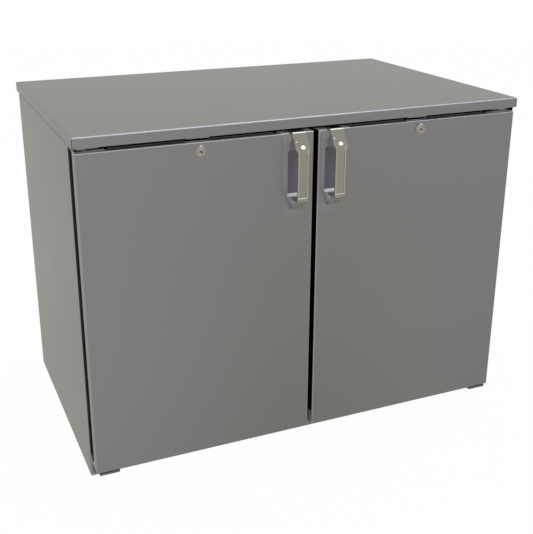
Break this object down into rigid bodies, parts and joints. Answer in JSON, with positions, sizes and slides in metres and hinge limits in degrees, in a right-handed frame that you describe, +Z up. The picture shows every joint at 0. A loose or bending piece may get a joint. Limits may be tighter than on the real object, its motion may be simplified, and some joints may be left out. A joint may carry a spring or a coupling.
{
  "type": "back bar cooler",
  "caption": "Stainless back bar cooler with hinged solid doors, strap handles over finger scoops, key locks, a flat worktop, wire shelves and an evaporator for a remote condenser.",
  "frame": {"origin": "on the floor under the base, below the middle of the worktop", "axes": "+X along the width to the right as seen from the front, +Y to the back, +Z up"},
  "size_m": [1.2192, 0.823, 0.938],
  "materials": {
    "stainless": "fine satin polish",
    "handle_metal": "satin casting",
    "filler_board": "sanded board",
    "foam": "rigid foam",
    "liner_metal": "smooth mill finish",
    "black_plastic": "satin moulding",
    "seal": "soft matt seal",
    "cap_plastic": "matt moulding",
    "hinge_steel": "pressed plate",
    "bush_nylon": "moulded nylon",
    "lock_metal": "satin chrome",
    "shelf_coating": "coated wire",
    "zinc_steel": "zinc plate",
    "coil_aluminium": "thin fins",
    "motor_paint": "satin paint",
    "fan_plastic": "moulded",
    "pan_plastic": "moulded",
    "copper": "drawn copper tube",
    "control_plastic": "moulded",
    "light_lens": "frosted lens",
    "button_metal": "polished cap"
  },
  "bodies": {
    "cabinet": {"worktop": "stainless", "worktop_core": "filler_board", "top_rails": "stainless", "side_panel_left": "stainless", "side_panel_right": "stainless", "back_panel": "zinc_steel", "base_pan": "zinc_steel", "top_panel": "zinc_steel", "insulation": "foam", "liner_sides": "liner_metal", "liner_back": "liner_metal", "liner_ceiling": "liner_metal", "liner_floor": "liner_metal", "frame_stiles": "black_plastic", "frame_rails": "black_plastic", "center_mullion": "black_plastic", "upper_hinge_brackets": "hinge_steel", "lower_hinge_brackets": "hinge_steel", "lock_strikes": "hinge_steel", "shelf_standards": "zinc_steel", "shelf_clips": "zinc_steel", "lower_shelves": "shelf_coating", "upper_shelves": "shelf_coating", "evaporator_housing": "liner_metal", "fan_guard": "zinc_steel", "fan_motor": "motor_paint", "evaporator_coil": "coil_aluminium", "drain_pan": "pan_plastic", "refrigerant_lines": "copper", "thermostat": "control_plastic", "light_strip": "light_lens"},
    "left_door": {"door_skin_left": "stainless", "door_core_left": "foam", "door_cap_left": "cap_plastic", "door_frame_left": "black_plastic", "door_liner_left": "liner_metal", "gasket_left": "seal", "hinge_plates_left": "hinge_steel", "hinge_bushes_left": "bush_nylon", "handle_left": "handle_metal", "handle_button_left": "button_metal", "lock_barrel_left": "lock_metal"},
    "left_lock": {"lock_plug_left": "lock_metal"},
    "right_door": {"door_skin_right": "stainless", "door_core_right": "foam", "door_cap_right": "cap_plastic", "door_frame_right": "black_plastic", "door_liner_right": "liner_metal", "gasket_right": "seal", "hinge_plates_right": "hinge_steel", "hinge_bushes_right": "bush_nylon", "handle_right": "handle_metal", "handle_button_right": "button_metal", "lock_barrel_right": "lock_metal"},
    "right_lock": {"lock_plug_right": "lock_metal"},
    "fan": {"fan_blade": "fan_plastic"},
    "knob": {"thermostat_knob": "control_plastic"}
  },
  "joints": [
    {"name": "left_door_hinge", "type": "hinge", "parent": "cabinet", "child": "left_door", "pos_m": [-0.585, -0.3555, 0.479], "axis": [0, 0, -1], "range_deg": [0, 110]},
    {"name": "left_lock_turn", "type": "hinge", "parent": "left_door", "child": "left_lock", "pos_m": [-0.30525, -0.38, 0.8787], "axis": [0, 1, 0], "range_deg": [0, 90]},
    {"name": "right_door_hinge", "type": "hinge", "parent": "cabinet", "child": "right_door", "pos_m": [0.585, -0.3555, 0.479], "axis": [0, 0, 1], "range_deg": [0, 110]},
    {"name": "right_lock_turn", "type": "hinge", "parent": "right_door", "child": "right_lock", "pos_m": [0.30525, -0.38, 0.8787], "axis": [0, 1, 0], "range_deg": [0, 90]},
    {"name": "fan_spin", "type": "hinge", "parent": "cabinet", "child": "fan", "pos_m": [0, 0.2065, 0.7548], "axis": [0, 1, 0], "continuous": true},
    {"name": "thermostat_turn", "type": "hinge", "parent": "cabinet", "child": "knob", "pos_m": [0.205, 0.17, 0.7548], "axis": [0, 1, 0], "range_deg": [0, 270]}
  ]
}
